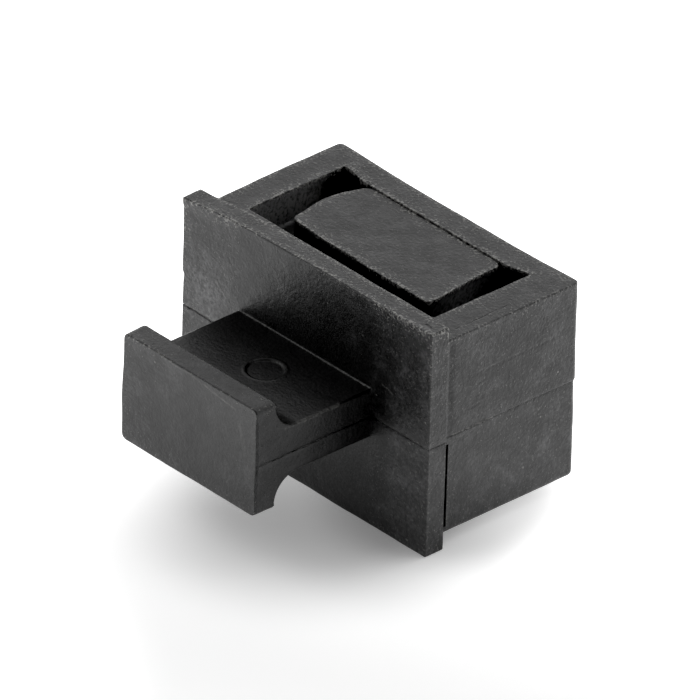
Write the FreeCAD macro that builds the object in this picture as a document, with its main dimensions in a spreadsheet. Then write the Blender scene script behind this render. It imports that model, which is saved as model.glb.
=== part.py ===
"""Dust plug for a small pluggable transceiver port, moulded in one piece of soft black rubber.

Frame: millimetres, +Z up. The origin is on the axis of insertion, in the plane of the flange's
rear face, which stops against the rim of the port. +Y runs into the port, and -Y runs out to the
grip. The plug is one solid: a flange plate, behind it an insert with a shallow recess and a raised
pad in its top, and in front of it a flat neck that ends in a grip bar.
"""
import FreeCAD, Part
import os
import Sketcher

NODE = "dust_plug"
NEAR = 1e-4

SIZES = {
    # The insert, the block that fills the mouth of the port.
    "insert_width": 13.6,
    "insert_height": 8.65,
    "insert_depth": 7.0,
    "rear_bow": 0.15,
    "insert_corner_radius": 0.45,
    "insert_edge_radius": 0.3,
    "rim_edge_radius": 0.08,
    # The flange plate, which stops the plug at the rim of the port.
    "flange_width": 14.1,
    "flange_height": 9.9,
    "flange_thickness": 0.9,
    "flange_rise": 0.15,
    "flange_corner_radius": 0.2,
    "flange_edge_radius": 0.1,
    # The recess in the top of the insert, and the rim left round it.
    "side_rim": 1.45,
    "rear_rim": 1.1,
    "front_rim": 0.9,
    "recess_depth": 1.45,
    "recess_bow": 0.25,
    "recess_corner_radius": 0.12,
    # The pad that stands on the floor of the recess.
    "pad_length": 7.75,
    "pad_width": 3.97,
    "pad_rear_gap": 0.05,
    "pad_drop": 0.07,
    "pad_corner_radius": 0.35,
    "pad_edge_radius": 0.1,
    # The handle: a flat neck, and the grip bar across its end.
    "handle_width": 7.6,
    "neck_length": 4.88,
    "neck_thickness": 2.13,
    "neck_edge_radius": 0.08,
    "grip_height": 4.71,
    "grip_thickness": 1.03,
    "grip_root_radius": 1.2,
    "grip_face_radius": 0.18,
    "grip_back_radius": 0.08,
    # The round mark of an ejector pin, on top of the neck.
    "pin_mark_diameter": 1.6,
    "pin_mark_depth": 0.06,
    "pin_mark_setback": 2.15,
}

# Places along each axis, worked out from the sizes.
INSERT_TOP = "(Sizes.insert_height / 2)"
INSERT_BOTTOM = "(-Sizes.insert_height / 2)"
INSERT_SIDE = "(Sizes.insert_width / 2)"
FLANGE_TOP = "(Sizes.flange_rise + Sizes.flange_height / 2)"
FLANGE_BOTTOM = "(Sizes.flange_rise - Sizes.flange_height / 2)"
FLANGE_SIDE = "(Sizes.flange_width / 2)"
FLANGE_FRONT = "(-Sizes.flange_thickness)"
RECESS_WIDTH = "(Sizes.insert_width - 2 * Sizes.side_rim)"
RECESS_REAR = "(Sizes.insert_depth - Sizes.rear_rim)"
RECESS_FLOOR = f"({INSERT_TOP} - Sizes.recess_depth)"
PAD_TOP = f"({INSERT_TOP} - Sizes.pad_drop)"
PAD_REAR = f"({RECESS_REAR} - Sizes.recess_bow - Sizes.pad_rear_gap)"
PAD_FRONT = f"({PAD_REAR} - Sizes.pad_width)"
NECK_TOP = "(Sizes.flange_rise + Sizes.neck_thickness / 2)"
NECK_BOTTOM = "(Sizes.flange_rise - Sizes.neck_thickness / 2)"
HANDLE_SIDE = "(Sizes.handle_width / 2)"
GRIP_TOP = "(Sizes.flange_rise + Sizes.grip_height / 2)"
GRIP_BOTTOM = "(Sizes.flange_rise - Sizes.grip_height / 2)"
GRIP_BACK = f"({FLANGE_FRONT} - Sizes.neck_length)"
GRIP_FRONT = f"({GRIP_BACK} - Sizes.grip_thickness)"
PIN_MARK_PLACE = f"({FLANGE_FRONT} - Sizes.pin_mark_setback)"


def add_sheet(doc):
    """Fill the spreadsheet of driving sizes, one row for each."""
    sheet = doc.addObject("Spreadsheet::Sheet", "Sizes")
    for row, (alias, value) in enumerate(SIZES.items(), start=1):
        sheet.set(f"A{row}", alias)
        sheet.set(f"B{row}", str(value))
        sheet.setAlias(f"B{row}", alias)
    doc.recompute()
    return sheet


def add_sketch(body, name, role, height="0"):
    """An empty sketch on one of the body's origin planes, moved out along the plane's normal."""
    plane = next(item for item in body.Origin.OriginFeatures if item.Role == role)
    sketch = body.newObject("Sketcher::SketchObject", name)
    sketch.AttachmentSupport = [(plane, "")]
    sketch.MapMode = "FlatFace"
    sketch.setExpression("AttachmentOffset.Base.z", height)
    return sketch


def drive(sketch, name, kind, *arguments):
    """Add a dimension whose value follows an expression, the last of the arguments."""
    *elements, expression = arguments
    number = sketch.addConstraint(Sketcher.Constraint(kind, *elements, sketch.evalExpression(expression)))
    sketch.renameConstraint(number, name)
    sketch.setExpression(f"Constraints.{name}", expression)


def add_polygon(sketch, points):
    """A closed outline of straight lines, joined end to end, with upright and level lines held so."""
    corners = [FreeCAD.Vector(x, y, 0) for x, y in points]
    count = len(corners)
    for index, corner in enumerate(corners):
        following = corners[(index + 1) % count]
        sketch.addGeometry(Part.LineSegment(corner, following))
        level = abs(following.y - corner.y) < NEAR
        sketch.addConstraint(Sketcher.Constraint("Horizontal" if level else "Vertical", index))
    for index in range(count):
        sketch.addConstraint(Sketcher.Constraint("Coincident", index, 2, (index + 1) % count, 1))


def add_rectangle(sketch, width, low, high):
    """A rectangle across the sketch's upright axis, between two heights."""
    half = sketch.evalExpression(width) / 2
    bottom, top = sketch.evalExpression(low), sketch.evalExpression(high)
    add_polygon(sketch, [(-half, bottom), (half, bottom), (half, top), (-half, top)])
    drive(sketch, "width", "DistanceX", 0, 1, 0, 2, width)
    drive(sketch, "half_width", "DistanceX", -1, 1, 0, 2, f"{width} / 2")
    drive(sketch, "low", "DistanceY", -1, 1, 0, 1, low)
    drive(sketch, "high", "DistanceY", -1, 1, 2, 1, high)


def add_bowed_outline(sketch, width, low, high, bow):
    """A rectangle whose far side is an arc that bends inward by the bow at its middle."""
    half = sketch.evalExpression(width) / 2
    near, far, depth = (sketch.evalExpression(value) for value in (low, high, bow))
    left, right = FreeCAD.Vector(-half, near, 0), FreeCAD.Vector(half, near, 0)
    far_left, far_right = FreeCAD.Vector(-half, far, 0), FreeCAD.Vector(half, far, 0)
    sketch.addGeometry(Part.LineSegment(left, right))
    sketch.addGeometry(Part.LineSegment(right, far_right))
    sketch.addGeometry(Part.Arc(far_left, FreeCAD.Vector(0, far - depth, 0), far_right))
    sketch.addGeometry(Part.LineSegment(far_left, left))
    sketch.addConstraint(Sketcher.Constraint("Horizontal", 0))
    sketch.addConstraint(Sketcher.Constraint("Vertical", 1))
    sketch.addConstraint(Sketcher.Constraint("Vertical", 3))
    sketch.addConstraint(Sketcher.Constraint("Coincident", 0, 2, 1, 1))
    sketch.addConstraint(Sketcher.Constraint("Coincident", 1, 2, 2, 2))
    sketch.addConstraint(Sketcher.Constraint("Coincident", 2, 1, 3, 1))
    sketch.addConstraint(Sketcher.Constraint("Coincident", 3, 2, 0, 1))
    sketch.addConstraint(Sketcher.Constraint("PointOnObject", 2, 3, -2))
    drive(sketch, "width", "DistanceX", 0, 1, 0, 2, width)
    drive(sketch, "half_width", "DistanceX", -1, 1, 0, 2, f"{width} / 2")
    drive(sketch, "near_side", "DistanceY", -1, 1, 0, 1, low)
    drive(sketch, "far_side", "DistanceY", -1, 1, 3, 1, high)
    drive(sketch, "bow_radius", "Radius", 2, f"({width}^2 / 4 + {bow}^2) / (2 * {bow})")


def add_pad(body, name, sketch, length, reversed_way=False, midplane=False):
    """Raise a sketch into solid material."""
    pad = body.newObject("PartDesign::Pad", name)
    pad.Profile = sketch
    pad.setExpression("Length", length)
    pad.Reversed = reversed_way
    pad.Midplane = midplane
    return pad


def add_pocket(body, name, sketch, depth):
    """Sink a sketch into the material below it."""
    pocket = body.newObject("PartDesign::Pocket", name)
    pocket.Profile = sketch
    pocket.setExpression("Length", depth)
    return pocket


def add_fillet(body, name, radius, chosen):
    """Round the edges of the solid so far, where chosen says yes to an edge's ends and middle."""
    body.Document.recompute()
    base = body.Tip
    edges = []
    for number, edge in enumerate(base.Shape.Edges, start=1):
        middle = edge.valueAt((edge.FirstParameter + edge.LastParameter) / 2)
        if chosen([middle, *(vertex.Point for vertex in edge.Vertexes)]):
            edges.append(f"Edge{number}")
    if not edges:
        raise RuntimeError(f"{name} finds no edge to round")
    fillet = body.newObject("PartDesign::Fillet", name)
    fillet.Base = (base, edges)
    fillet.setExpression("Radius", radius)


def level_at(points, axis, *targets):
    """Whether all the points share one of the target values along an axis."""
    values = [getattr(point, axis) for point in points]
    return any(all(abs(value - target) < NEAR for value in values) for target in targets)


def on_sides(points, half_width):
    """Whether all the points lie on one of the two sides at this distance from the middle plane."""
    return level_at(points, "x", half_width, -half_width)


def add_flange(body):
    """The plate, from the origin's plane forward."""
    outline = add_sketch(body, "FlangeOutline", "XZ_Plane")
    add_rectangle(outline, "Sizes.flange_width", FLANGE_BOTTOM, FLANGE_TOP)
    add_pad(body, "Flange", outline, "Sizes.flange_thickness")


def add_insert(body):
    """The block behind the plate. Its rear face is drawn in a little, as moulded rubber shrinks."""
    outline = add_sketch(body, "InsertOutline", "XY_Plane")
    add_bowed_outline(outline, "Sizes.insert_width", "-Sizes.flange_thickness / 2", "Sizes.insert_depth",
                      "Sizes.rear_bow")
    add_pad(body, "Insert", outline, "Sizes.insert_height", midplane=True)


def add_recess(body):
    """The hollow in the insert's top, and the raised pad on its floor."""
    outline = add_sketch(body, "RecessOutline", "XY_Plane", INSERT_TOP)
    add_bowed_outline(outline, RECESS_WIDTH, "Sizes.front_rim", RECESS_REAR, "Sizes.recess_bow")
    add_pocket(body, "Recess", outline, "Sizes.recess_depth")
    outline = add_sketch(body, "PadOutline", "XY_Plane", RECESS_FLOOR)
    add_rectangle(outline, "Sizes.pad_length", PAD_FRONT, PAD_REAR)
    add_pad(body, "Pad", outline, "Sizes.recess_depth - Sizes.pad_drop")


def add_handle(body):
    """The neck and the grip bar, one T-shaped profile as wide as both."""
    profile = add_sketch(body, "HandleProfile", "YZ_Plane")
    root, back, front, neck_top, neck_bottom, grip_top, grip_bottom = (
        profile.evalExpression(place)
        for place in (FLANGE_FRONT, GRIP_BACK, GRIP_FRONT, NECK_TOP, NECK_BOTTOM, GRIP_TOP, GRIP_BOTTOM)
    )
    add_polygon(profile, [
        (root, neck_bottom), (root, neck_top), (back, neck_top), (back, grip_top),
        (front, grip_top), (front, grip_bottom), (back, grip_bottom), (back, neck_bottom),
    ])
    drive(profile, "root", "DistanceX", -1, 1, 0, 1, FLANGE_FRONT)
    drive(profile, "neck_bottom", "DistanceY", -1, 1, 0, 1, NECK_BOTTOM)
    drive(profile, "neck_thickness", "DistanceY", 0, 1, 0, 2, "Sizes.neck_thickness")
    drive(profile, "neck_length", "DistanceX", 1, 2, 1, 1, "Sizes.neck_length")
    drive(profile, "grip_top", "DistanceY", -1, 1, 3, 1, GRIP_TOP)
    drive(profile, "grip_thickness", "DistanceX", 3, 2, 3, 1, "Sizes.grip_thickness")
    drive(profile, "grip_height", "DistanceY", 4, 2, 4, 1, "Sizes.grip_height")
    profile.addConstraint(Sketcher.Constraint("PointOnObject", 6, 2, 2))
    add_pad(body, "Handle", profile, "Sizes.handle_width", midplane=True)


def add_pin_mark(body):
    """The shallow disc that an ejector pin leaves in the top of the neck."""
    outline = add_sketch(body, "PinMarkOutline", "XY_Plane", NECK_TOP)
    place, radius = (outline.evalExpression(value) for value in (PIN_MARK_PLACE, "Sizes.pin_mark_diameter / 2"))
    outline.addGeometry(Part.Circle(FreeCAD.Vector(0, place, 0), FreeCAD.Vector(0, 0, 1), radius))
    outline.addConstraint(Sketcher.Constraint("PointOnObject", 0, 3, -2))
    drive(outline, "place", "DistanceY", 0, 3, -1, 1, f"-{PIN_MARK_PLACE}")
    drive(outline, "diameter", "Diameter", 0, "Sizes.pin_mark_diameter")
    add_pocket(body, "PinMark", outline, "Sizes.pin_mark_depth")


def round_handle(body, value):
    """The broad curves at the root of the grip, and the soft edges of neck and grip."""
    back, front, root = value(GRIP_BACK), value(GRIP_FRONT), value(FLANGE_FRONT)
    neck_levels = value(NECK_TOP), value(NECK_BOTTOM)
    grip_levels = value(GRIP_TOP), value(GRIP_BOTTOM)
    side = value(HANDLE_SIDE)
    add_fillet(body, "GripRoots", "Sizes.grip_root_radius",
               lambda points: level_at(points, "y", back) and level_at(points, "z", *neck_levels))
    add_fillet(body, "GripBack", "Sizes.grip_back_radius",
               lambda points: level_at(points, "y", back) and level_at(points, "z", *grip_levels))
    add_fillet(body, "HandleSides", "Sizes.neck_edge_radius",
               lambda points: on_sides(points, side) and not level_at(points, "y", front)
               and not level_at(points, "y", root))
    add_fillet(body, "GripFace", "Sizes.grip_face_radius",
               lambda points: level_at(points, "y", front))


def round_flange(body, value):
    """The plate's corners and the outlines of its two faces."""
    side, top, bottom = value(FLANGE_SIDE), value(FLANGE_TOP), value(FLANGE_BOTTOM)
    insert_side, insert_top, insert_bottom = value(INSERT_SIDE), value(INSERT_TOP), value(INSERT_BOTTOM)
    add_fillet(body, "FlangeCorners", "Sizes.flange_corner_radius",
               lambda points: on_sides(points, side) and level_at(points, "z", top, bottom))
    add_fillet(body, "FlangeEdges", "Sizes.flange_edge_radius",
               lambda points: level_at(points, "y", value(FLANGE_FRONT), 0)
               and all(abs(p.x) > insert_side + NEAR or p.z > insert_top + NEAR
                       or p.z < insert_bottom - NEAR for p in points))


def round_insert(body, value):
    """The insert's rear corners, its underside, and the outside of the rim."""
    side, top, bottom = value(INSERT_SIDE), value(INSERT_TOP), value(INSERT_BOTTOM)
    depth, rim_middle = value("Sizes.insert_depth"), value("Sizes.insert_depth - Sizes.rear_rim / 2")
    add_fillet(body, "InsertCorners", "Sizes.insert_corner_radius",
               lambda points: on_sides(points, side) and level_at(points, "y", depth))
    add_fillet(body, "InsertEdges", "Sizes.insert_edge_radius",
               lambda points: level_at(points, "z", bottom) and max(p.y for p in points) > NEAR)
    add_fillet(body, "RimEdges", "Sizes.rim_edge_radius",
               lambda points: level_at(points, "z", top) and max(p.y for p in points) > NEAR
               and (on_sides(points, side) or min(p.y for p in points) > rim_middle))


def round_recess(body, value):
    """The corners of the recess, and the corners and top edges of the pad."""
    recess_side, pad_side = value(f"{RECESS_WIDTH} / 2"), value("Sizes.pad_length / 2")
    recess_ends = value("Sizes.front_rim"), value(RECESS_REAR)
    pad_ends, pad_top = (value(PAD_FRONT), value(PAD_REAR)), value(PAD_TOP)
    add_fillet(body, "RecessCorners", "Sizes.recess_corner_radius",
               lambda points: on_sides(points, recess_side) and level_at(points, "y", *recess_ends))
    add_fillet(body, "PadCorners", "Sizes.pad_corner_radius",
               lambda points: on_sides(points, pad_side) and level_at(points, "y", *pad_ends))
    add_fillet(body, "PadEdges", "Sizes.pad_edge_radius",
               lambda points: level_at(points, "z", pad_top))


def build():
    """Build the plug in a new document and return its body."""
    doc = FreeCAD.newDocument("DustPlug")
    sheet = add_sheet(doc)
    body = doc.addObject("PartDesign::Body", "DustPlug")
    body.Label = NODE
    add_flange(body)
    add_insert(body)
    add_recess(body)
    add_handle(body)
    add_pin_mark(body)
    for soften in (round_handle, round_flange, round_insert, round_recess):
        soften(body, sheet.evalExpression)
    doc.recompute()
    return body


def export(body):
    """Stop at any failed feature, and write the solid."""
    for item in body.Document.Objects:
        if {"Invalid", "Error"} & set(item.State):
            raise RuntimeError(f"{item.Name} failed to build")
    if body.Shape.isNull() or not body.Shape.isValid():
        raise RuntimeError(f"{body.Label} is not a valid solid")
    os.makedirs("parts", exist_ok=True)
    body.Shape.exportStep(f"parts/{body.Label}.step")
    box = body.Shape.BoundBox
    print(f"{body.Label}: {box.XLength:.2f} x {box.YLength:.2f} x {box.ZLength:.2f} mm, "
          f"{body.Shape.Volume:.1f} cubic mm, {len(body.Shape.Solids)} solid")


export(build())
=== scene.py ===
"""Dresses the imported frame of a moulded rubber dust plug: its surface, its stage and the camera.

Everything is in metres, in the frame's own axes: +Y runs into the port, -Y out to the grip, +Z up.
"""

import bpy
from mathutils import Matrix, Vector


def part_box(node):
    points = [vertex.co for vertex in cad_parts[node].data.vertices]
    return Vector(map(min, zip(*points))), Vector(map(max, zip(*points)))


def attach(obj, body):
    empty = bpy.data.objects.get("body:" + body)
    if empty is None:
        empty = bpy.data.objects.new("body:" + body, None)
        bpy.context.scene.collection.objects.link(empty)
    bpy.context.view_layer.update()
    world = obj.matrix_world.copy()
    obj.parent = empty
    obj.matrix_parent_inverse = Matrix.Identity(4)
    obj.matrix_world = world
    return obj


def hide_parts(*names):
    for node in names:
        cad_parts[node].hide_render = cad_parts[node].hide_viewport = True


bl_info = {
    "name": "Transceiver Dust Plug",
    "version": (1, 0, 0),
    "blender": (4, 5, 0),
    "location": "View3D > Sidebar > Dust Plug",
    "description": "Models a one-piece rubber dust plug on its packed frame, with stage, lights and camera",
    "category": "Object",
}

import math
import bmesh
import bpy
import numpy as np
from mathutils import Matrix, Vector, noise
from types import SimpleNamespace

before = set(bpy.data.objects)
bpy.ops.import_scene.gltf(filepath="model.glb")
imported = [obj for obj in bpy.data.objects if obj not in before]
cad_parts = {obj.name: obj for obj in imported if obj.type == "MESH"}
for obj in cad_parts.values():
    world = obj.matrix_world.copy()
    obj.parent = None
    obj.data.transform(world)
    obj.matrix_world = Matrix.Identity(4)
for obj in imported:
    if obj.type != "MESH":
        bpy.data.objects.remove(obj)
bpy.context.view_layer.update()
LOW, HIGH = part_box("dust_plug")

MM = 0.001
NEAR = 1e-6  # places no further apart than this count as one
SLIVER = 5e-6  # vertices closer together than this are merged
SHARP = math.radians(50)  # edges that turn by more than this are kept sharp
FLAT = math.radians(1)  # lines that turn by less than this lie on flat ground
X, Y, Z = 0, 1, 2
AXES = (Vector((1, 0, 0)), Vector((0, 1, 0)), Vector((0, 0, 1)))
SHARP_CORNER = 0.4  # radius of the pad's sharpest corner, as a share of the others'


def length(name, millimetres, description):
    """A property that holds a length, its default given in millimetres."""
    return bpy.props.FloatProperty(name=name, description=description, default=millimetres * MM,
                                   unit="LENGTH", min=0.0, precision=6)


def srgb(code):
    """Linear colour of an sRGB hex value."""
    parts = (int(code[place:place + 2], 16) / 255 for place in (1, 3, 5))
    return tuple(part / 12.92 if part <= 0.04045 else ((part + 0.055) / 1.055) ** 2.4 for part in parts)


def colour(name, code, description):
    """A property that holds a colour, its default given as an sRGB hex value."""
    return bpy.props.FloatVectorProperty(name=name, description=description, default=srgb(code),
                                         subtype="COLOR", min=0.0, max=1.0)


def factor(name, value, description, most=100.0):
    """A property that holds a plain number, such as a brightness or a share."""
    return bpy.props.FloatProperty(name=name, description=description, default=value, min=0.0, max=most,
                                   precision=4)


def angle(name, degrees, description):
    """A property that holds an angle, its default given in degrees."""
    return bpy.props.FloatProperty(name=name, description=description, default=math.radians(degrees),
                                   subtype="ANGLE")


def point(name, millimetres, description):
    """A property that holds a place, its default given in millimetres."""
    default = tuple(value * MM for value in millimetres)
    return bpy.props.FloatVectorProperty(name=name, description=description, default=default, subtype="XYZ",
                                         unit="LENGTH", precision=6)


class PlugShape(bpy.types.PropertyGroup):
    """Sizes of the plug that its outer box doesn't give."""
    insert_width: length("Insert width", 13.6, "Width of the block that fills the port")
    insert_height: length("Insert height", 8.65, "Height of the block that fills the port")
    insert_depth: length("Insert depth", 7.0, "Depth of the block at its sides")
    insert_corner_radius: length("Insert corners", 0.26, "Radius of the upright rear corners")
    insert_edge_radius: length("Insert underside", 0.24, "Radius round the underside")
    rim_edge_radius: length("Rim edge", 0.04, "Radius round the top of the insert")
    flange_thickness: length("Flange thickness", 0.9, "Thickness of the stop plate")
    flange_corner_radius: length("Flange corners", 0.1, "Radius of the plate's four corners")
    flange_edge_radius: length("Flange edges", 0.04, "Radius round the front of the plate")
    flange_back_radius: length("Flange back", 0.03, "Radius round the back of the plate")
    slit_width: length("Slit width", 0.3, "Width of the slit behind the plate, at its lower right")
    slit_depth: length("Slit depth", 0.3, "Depth of that slit")
    side_rim: length("Side rim", 1.45, "Width of the rim left and right of the recess")
    front_rim: length("Front rim", 0.9, "Width of the rim between plate and recess")
    rear_rim: length("Rear rim", 1.1, "Width of the rim behind the recess")
    recess_depth: length("Recess depth", 1.45, "Depth of the recess in the insert's top")
    recess_corner_radius: length("Recess corners", 0.12, "Radius of the recess's upright corners")
    recess_edge_radius: length("Recess edges", 0.018, "Radius round the recess's top outline")
    recess_bow: length("Recess bow", 0.25, "How far the recess's rear wall leans in at its middle")
    rear_bow: length("Rear bow", 0.15, "How far the insert's rear face is drawn in at its middle")
    pad_length: length("Pad length", 7.75, "Size of the raised pad across the plug")
    pad_width: length("Pad width", 3.97, "Size of the raised pad along the plug")
    pad_rear_gap: length("Gap behind the pad", 0.02, "Gap to the recess's rear wall at its middle")
    pad_drop: length("Pad drop", 0.07, "How far the pad's top lies below the rim")
    pad_corner_radius: length("Pad corners", 0.35, "Radius of the pad's upright corners")
    pad_edge_radius: length("Pad edges", 0.024, "Radius round the pad's top")
    handle_width: length("Handle width", 7.6, "Width of neck and grip")
    neck_thickness: length("Neck thickness", 2.13, "Thickness of the flat neck")
    neck_edge_radius: length("Neck edges", 0.08, "Radius along the sides of neck and grip")
    grip_height: length("Grip height", 4.71, "Height of the grip bar")
    grip_thickness: length("Grip thickness", 1.03, "Thickness of the grip bar")
    grip_root_radius: length("Grip roots", 1.15, "Radius of the hollow curves between neck and grip")
    grip_corner_radius: length("Grip corners", 0.25, "Radius of the grip's four corners")
    grip_face_radius: length("Grip face", 0.06, "Radius round the front of the grip")
    crease_radius: length("Creases", 0.06, "Radius of the small fillets where walls meet")
    pin_mark_radius: length("Pin mark", 0.74, "Radius of the ejector pin's round mark")
    pin_mark_depth: length("Pin mark depth", 0.06, "Depth of the ejector pin's round mark")
    pin_mark_setback: length("Pin mark place", 2.15, "From the plate to the middle of the round mark")
    parting_width: length("Parting line width", 0.05, "Width of the fine line where the mould's halves met")
    parting_depth: length("Parting line depth", 0.035, "Depth of the fine line where the mould's halves met")
    mesh_spacing: length("Mesh spacing", 0.13, "Largest side of a face on the finished surface")


class PlugFinish(bpy.types.PropertyGroup):
    """Colours and grain of the rubber."""
    skin: colour("Skin", "#040404", "Rubber between the grains")
    grain: colour("Grain", "#101010", "The tops of the grain, which the light catches")
    # The bloom colour is both a pale film along the edges and painted light on the plate and in the recess.
    bloom_and_painted_light: colour("Bloom", "#606061", "The pale film on rubbed places and along edges")
    # The dust colour also paints the highlights and the lit patch among the pale marks.
    dust: colour("Dust", "#8c8b88", "Dust that clings to the skin")
    dust_share: factor("Dust", 0.055, "Share of the skin's cells that hold a speck", most=1.0)
    fleck_size: length("Fleck size", 0.11, "Width of the pale flecks that crowd along the edges")
    roughness: factor("Roughness", 0.42, "Roughness of the matte skin", most=1.0)
    gloss: factor("Gloss", 0.42, "Strength of the skin's reflection", most=1.0)
    grain_size: length("Grain size", 0.14, "Width of the grain that the mould leaves")
    grain_depth: length("Grain depth", 0.022, "Depth of the grain that the mould leaves")


class PlugStage(bpy.types.PropertyGroup):
    """Where the camera stands, and how bright the room is."""
    azimuth: angle("Azimuth", 47.05, "Turn of the view about the upright axis")
    elevation: angle("Elevation", 31.24, "Height of the view above the floor")
    roll: angle("Roll", 1.62, "Tilt of the camera about its own line of sight")
    distance: length("Distance", 784.6, "From the camera to the point it looks at")
    lens: bpy.props.FloatProperty(name="Lens", description="Focal length in millimetres, on a 36 mm sensor",
                                  default=1057.2, unit="CAMERA")
    aim: point("Aim", (0.671, 0.816, 0.830), "Point at the middle of the picture")
    room_light: factor("Room light", 0.15, "Brightness of the room in front and above")
    wall_light: factor("Wall light", 1.3, "Brightness of the white wall behind")
    wall_azimuth: angle("Wall azimuth", 95, "Where the white wall stands, counted from +X toward +Y")
    floor_glow: factor("Floor glow", 0.38, "Light that comes up through the floor")
    back_glow: factor("Back glow", 1.1, "What is added to that behind the plug")
    back_azimuth: angle("Back azimuth", 125, "Which way the floor grows brighter, counted from +X toward +Y")
    pool_glow: factor("Pool glow", 3.9, "What is added to that in front on the left")
    pool_place: point("Pool place", (-5, -28.5, 0), "Middle of that brighter pool of light")
    pool_radius: length("Pool radius", 20, "How far the brighter pool of light reaches")
    side_glow: factor("Side glow", 0.6, "What is added to that close by on the right")
    side_place: point("Side place", (11.5, 4.5, LOW.z / MM), "Middle of the bright spot on the right")
    side_radius: length("Side radius", 5, "How far the bright spot on the right reaches")
    foot_shade: factor("Foot shade", 0.7, "Share of the floor's light missing under the neck", most=1.0)
    foot_place: point("Foot place", (2, -2, LOW.z / MM), "Middle of the shade under the neck")
    foot_reach: length("Foot reach", 9, "How far that shade reaches")
    block_shade: factor("Block shade", 0.49, "Share of the floor's light missing under the insert", most=1.0)
    block_place: point("Block place", (4.5, 2.5, LOW.z / MM), "Middle of the shade under the insert")
    block_reach: length("Block reach", 6, "How far that shade reaches")
    black_level: factor("Black level", 0.0038, "Light that the camera shows as black")
    key_light: factor("Key light", 1.8, "Brightness of the soft box at front left")
    key_size: length("Key size", 170, "Width and height of the soft box")
    key_azimuth: angle("Key azimuth", 219, "Where the soft box hangs, counted from +X toward +Y")
    key_elevation: angle("Key elevation", 36, "How high the soft box hangs")
    key_distance: length("Key distance", 250, "From the soft box to the plug")
    floor_colour: colour("Floor", "#f6f6f6", "Colour of the floor")


def inside(co, low, high):
    """Whether a point lies in the box between two corners."""
    return all(low[axis] - NEAR < co[axis] < high[axis] + NEAR for axis in (X, Y, Z))


def faces_in(bm, low, high):
    """Faces whose middle lies in a box."""
    return [face for face in bm.faces if inside(face.calc_center_median(), low, high)]


def parts_of(faces, kind):
    """The edges or vertices of some faces, each once and in the same order in each run, as a set isn't."""
    return list(dict.fromkeys(part for face in faces for part in getattr(face, kind)))


def edges_in(bm, low, high, least=SHARP, most=math.pi, convex=None):
    """Edges that lie in a box and turn by an angle in a range, inward or outward where convex says."""
    return [edge for edge in bm.edges
            if all(inside(vert.co, low, high) for vert in edge.verts)
            and least <= edge.calc_face_angle(0.0) <= most
            and (convex is None or edge.is_convex == convex)]


def cut(bm, low, high, axis, *places):
    """Draw lines across the faces in a box, in planes across one axis."""
    for place in places:
        faces = faces_in(bm, low, high)
        geom = [*faces, *parts_of(faces, "edges"), *parts_of(faces, "verts")]
        bmesh.ops.bisect_plane(bm, geom=geom, dist=NEAR, plane_co=AXES[axis] * place, plane_no=AXES[axis])


def clear_lines(bm, low, high):
    """Take away the lines in a box that run across flat ground."""
    bmesh.ops.dissolve_edges(bm, edges=edges_in(bm, low, high, least=0, most=FLAT), use_verts=True)


def raise_faces(bm, low, high, axis, travel):
    """Extrude the faces in a box along one axis."""
    faces = faces_in(bm, low, high)
    made = bmesh.ops.extrude_face_region(bm, geom=faces)["geom"]
    bmesh.ops.delete(bm, geom=[face for face in faces if face.is_valid], context="FACES_ONLY")
    verts = [item for item in made if isinstance(item, bmesh.types.BMVert)]
    bmesh.ops.translate(bm, verts=verts, vec=AXES[axis] * travel)


def round_off(bm, edges, radius, segments):
    """Round some edges to a radius."""
    bmesh.ops.bevel(bm, geom=edges, offset=radius, offset_type="OFFSET", affect="EDGES", segments=segments,
                    profile=0.5, material=-1, clamp_overlap=False, loop_slide=True)


def round_in(bm, low, high, radius, segments, convex=None):
    """Round the sharp edges in a box to a radius."""
    round_off(bm, edges_in(bm, low, high, convex=convex), radius, segments)


def model_flange(bm, shape):
    """The stop plate, from the seating plane at y = 0 forward."""
    thickness = shape.flange_thickness
    size = Vector((HIGH.x - LOW.x, thickness, HIGH.z - LOW.z))
    middle = Vector((0, -thickness / 2, (HIGH.z + LOW.z) / 2))
    bmesh.ops.create_cube(bm, size=1, matrix=Matrix.Translation(middle) @ Matrix.Diagonal(size).to_4x4())


def model_insert(bm, shape):
    """The block behind the plate, with its soft outer edges."""
    side, top, rear = shape.insert_width / 2, shape.insert_height / 2, shape.insert_depth
    seat = (LOW.x, 0, LOW.z), (HIGH.x, 0, HIGH.z)
    cut(bm, *seat, X, -side, side)
    cut(bm, *seat, Z, -top, top)
    raise_faces(bm, (-side, 0, -top), (side, 0, top), Y, rear)
    clear_lines(bm, (LOW.x, 0, LOW.z), (HIGH.x, 0, top))
    upright = []
    for across in (-side, side):
        upright += edges_in(bm, (across, rear, -top), (across, rear, top))
    round_off(bm, upright, shape.insert_corner_radius, 6)
    round_in(bm, (-side, 0, -top), (side, rear, -top), shape.insert_edge_radius, 5, convex=True)
    round_in(bm, (-side, 0, top), (side, rear, top), shape.rim_edge_radius, 2, convex=True)


def recess_outline(shape):
    """Half width of the recess, its front, its rear and its floor."""
    return (shape.insert_width / 2 - shape.side_rim, shape.front_rim, shape.insert_depth - shape.rear_rim,
            shape.insert_height / 2 - shape.recess_depth)


def model_recess(bm, shape):
    """The hollow in the insert's top."""
    top = shape.insert_height / 2
    side, front, rear, floor = recess_outline(shape)
    rim = (LOW.x, 0, top), (HIGH.x, shape.insert_depth, top)
    cut(bm, *rim, X, -side, side)
    cut(bm, *rim, Y, front, rear)
    raise_faces(bm, (-side, front, top), (side, rear, top), Z, -shape.recess_depth)
    for across in (-side, side):
        for along in (front, rear):
            round_in(bm, (across, along, floor), (across, along, top), shape.recess_corner_radius, 3)
    round_in(bm, (-side, front, top), (side, rear, top), shape.recess_edge_radius, 2, convex=True)


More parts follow.
